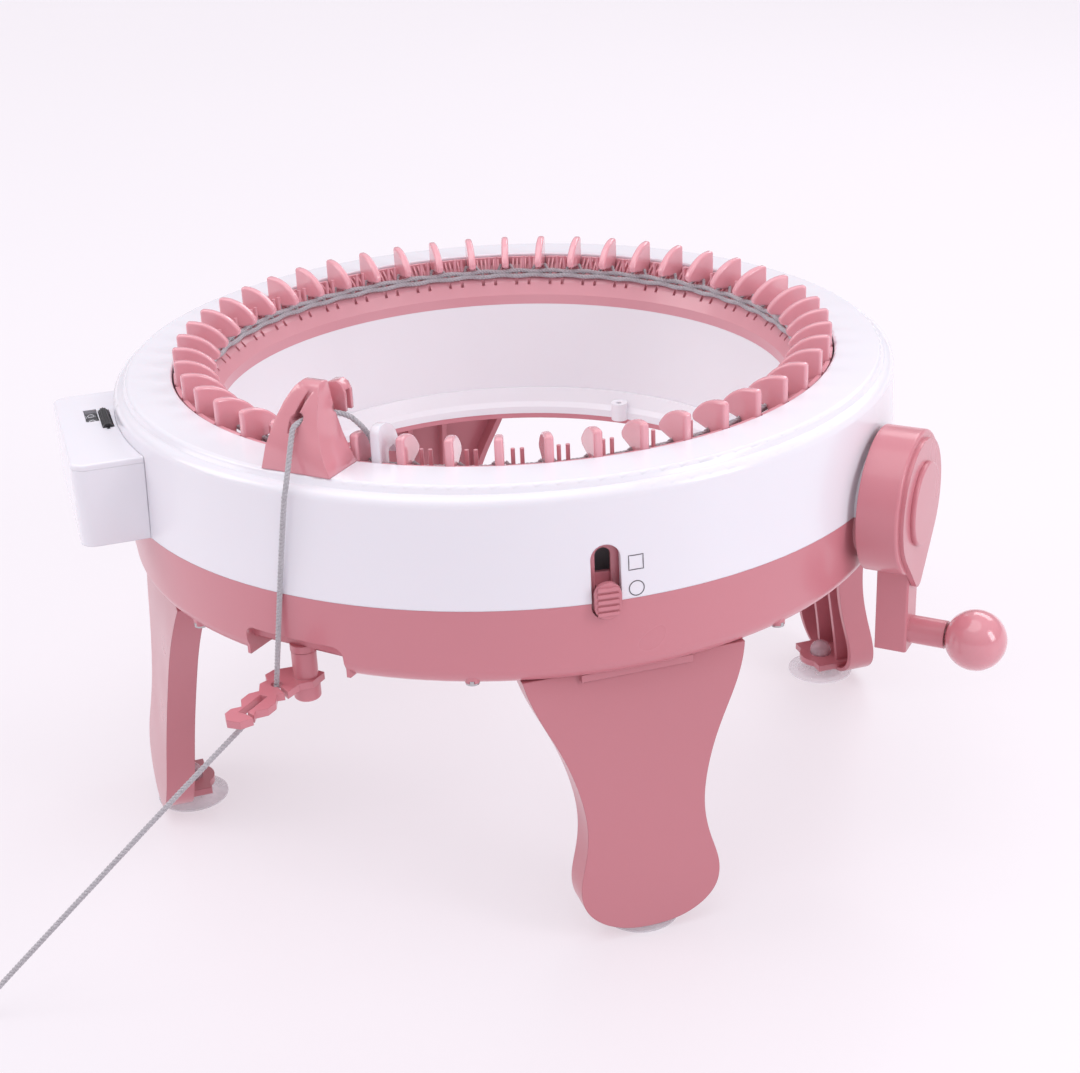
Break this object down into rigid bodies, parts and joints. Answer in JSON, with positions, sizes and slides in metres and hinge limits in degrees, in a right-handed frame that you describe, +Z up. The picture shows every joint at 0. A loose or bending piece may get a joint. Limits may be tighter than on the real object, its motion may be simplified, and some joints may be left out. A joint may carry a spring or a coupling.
{
  "type": "circular knitting machine",
  "caption": "Hand-cranked circular knitting machine on four suction-cup legs, with a turning needle ring, yarn guide, tensioner and row counter.",
  "frame": {"origin": "on the table plane, under the centre of the needle ring", "axes": "+Z up along the needle ring's axis, +X along the crank's axis away from the machine, -Y towards the yarn guide"},
  "size_m": [0.3856, 0.4348, 0.2186],
  "materials": {
    "pink_housing": "smooth moulded pink plastic",
    "white_cover": "smooth moulded white plastic",
    "pink_needle": "moulded pink acetal",
    "white_needle": "moulded white acetal",
    "inner_white": "moulded white plastic, satin",
    "gear_white": "moulded acetal gear",
    "bush": "moulded acetal bearing",
    "steel": "zinc plated steel",
    "clear_cup": "soft clear vinyl",
    "counter_window": "clear window",
    "counter_wheel": "black plastic with white digits",
    "reset_roller": "ribbed black plastic",
    "yarn": "grey spun yarn"
  },
  "bodies": {
    "base": {"base_housing": "pink_housing", "top_cover": "white_cover", "inner_collar": "inner_white", "cam_ring": "gear_white", "leg_front_right": "pink_housing", "leg_rear_right": "pink_housing", "leg_rear_left": "pink_housing", "leg_front_left": "pink_housing", "suction_cup_front_right": "clear_cup", "suction_cup_rear_right": "clear_cup", "suction_cup_rear_left": "clear_cup", "suction_cup_front_left": "clear_cup", "casing_screws": "steel", "cam_screws": "steel", "collar_screws": "steel", "leg_screws": "steel", "guide_screws": "steel", "crank_bush": "bush", "yarn_guide": "pink_housing", "counter_case": "white_cover", "counter_lid": "white_cover", "counter_window": "counter_window", "counter_axle": "steel", "counter_lever_pin": "steel", "mode_frame": "pink_housing", "tensioner_post": "pink_housing", "tensioner_cap": "pink_housing", "roller_pins": "steel", "feed_yarn": "yarn"},
    "drum": {"needle_drum": "inner_white", "needle_bed": "gear_white", "comb_ring": "pink_needle", "crown_gear": "gear_white", "drum_screws": "steel", "needles": "pink_needle", "cast_on_yarn": "yarn"},
    "first_needle": {"first_needle": "white_needle"},
    "crank": {"drive_pinion": "gear_white", "crank_handle": "pink_housing", "crank_cap": "pink_housing", "crank_screw": "steel", "knob_pin": "steel"},
    "knob": {"crank_knob": "pink_housing"},
    "arm": {"tensioner_arm": "pink_housing", "tail_yarn": "yarn", "yarn_end_knot": "yarn"},
    "slider": {"mode_slider": "pink_housing"},
    "units_wheel": {"units_wheel": "counter_wheel"},
    "tens_wheel": {"tens_wheel": "counter_wheel"},
    "reset_roller": {"reset_roller": "reset_roller"},
    "counter_lever": {"counter_lever": "gear_white"},
    "roller_1": {"support_roller_1": "bush"},
    "roller_2": {"support_roller_2": "bush"},
    "roller_3": {"support_roller_3": "bush"},
    "roller_4": {"support_roller_4": "bush"},
    "roller_5": {"support_roller_5": "bush"},
    "roller_6": {"support_roller_6": "bush"}
  },
  "joints": [
    {"name": "drum_spin", "type": "hinge", "parent": "base", "child": "drum", "pos_m": [0, 0, 0.15], "axis": [0, 0, 1], "continuous": true},
    {"name": "first_needle_slide", "type": "slide", "parent": "drum", "child": "first_needle", "axis": [0, 0, 1], "range_m": [-0.0032, 0]},
    {"name": "crank_spin", "type": "hinge", "parent": "base", "child": "crank", "pos_m": [0.175, 0, 0.143], "axis": [1, 0, 0], "continuous": true},
    {"name": "knob_spin", "type": "hinge", "parent": "crank", "child": "knob", "pos_m": [0.2082, 0, 0.0874], "axis": [1, 0, 0], "continuous": true},
    {"name": "tensioner_swing", "type": "hinge", "parent": "base", "child": "arm", "pos_m": [-0.008, -0.1534, 0.102], "axis": [0, 0, 1], "range_deg": [-15, 15]},
    {"name": "mode_slide", "type": "slide", "parent": "base", "child": "slider", "axis": [0, 0, 1], "range_m": [0, 0.013]},
    {"name": "units_spin", "type": "hinge", "parent": "base", "child": "units_wheel", "pos_m": [-0.12205, -0.12205, 0.17], "axis": [0.7071, -0.7071, 0], "continuous": true},
    {"name": "tens_spin", "type": "hinge", "parent": "base", "child": "tens_wheel", "pos_m": [-0.12205, -0.12205, 0.17], "axis": [0.7071, -0.7071, 0], "continuous": true},
    {"name": "reset_spin", "type": "hinge", "parent": "base", "child": "reset_roller", "pos_m": [-0.11837, -0.11837, 0.1764], "axis": [0.7071, -0.7071, 0], "continuous": true},
    {"name": "counter_lever_swing", "type": "hinge", "parent": "base", "child": "counter_lever", "pos_m": [-0.10112, -0.12092, 0.128], "axis": [0, 0, 1], "range_deg": [0, 5]},
    {"name": "roller_1_spin", "type": "hinge", "parent": "base", "child": "roller_1", "pos_m": [0.11232, 0.06485, 0.117], "axis": [0.866, 0.5, 0], "continuous": true},
    {"name": "roller_2_spin", "type": "hinge", "parent": "base", "child": "roller_2", "pos_m": [0, 0.1297, 0.117], "axis": [0, 1, 0], "continuous": true},
    {"name": "roller_3_spin", "type": "hinge", "parent": "base", "child": "roller_3", "pos_m": [-0.11232, 0.06485, 0.117], "axis": [-0.866, 0.5, 0], "continuous": true},
    {"name": "roller_4_spin", "type": "hinge", "parent": "base", "child": "roller_4", "pos_m": [-0.11232, -0.06485, 0.117], "axis": [-0.866, -0.5, 0], "continuous": true},
    {"name": "roller_5_spin", "type": "hinge", "parent": "base", "child": "roller_5", "pos_m": [0, -0.1297, 0.117], "axis": [0, -1, 0], "continuous": true},
    {"name": "roller_6_spin", "type": "hinge", "parent": "base", "child": "roller_6", "pos_m": [0.11232, -0.06485, 0.117], "axis": [0.866, -0.5, 0], "continuous": true}
  ],
  "couplings": [
    {"joint": "crank_spin", "follows": "drum_spin", "ratio": 9},
    {"joint": "units_spin", "follows": "drum_spin", "ratio": 0.1},
    {"joint": "tens_spin", "follows": "drum_spin", "ratio": 0.01},
    {"joint": "roller_1_spin", "follows": "drum_spin", "ratio": -36.028},
    {"joint": "roller_2_spin", "follows": "drum_spin", "ratio": -36.028},
    {"joint": "roller_3_spin", "follows": "drum_spin", "ratio": -36.028},
    {"joint": "roller_4_spin", "follows": "drum_spin", "ratio": -36.028},
    {"joint": "roller_5_spin", "follows": "drum_spin", "ratio": -36.028},
    {"joint": "roller_6_spin", "follows": "drum_spin", "ratio": -36.028}
  ]
}
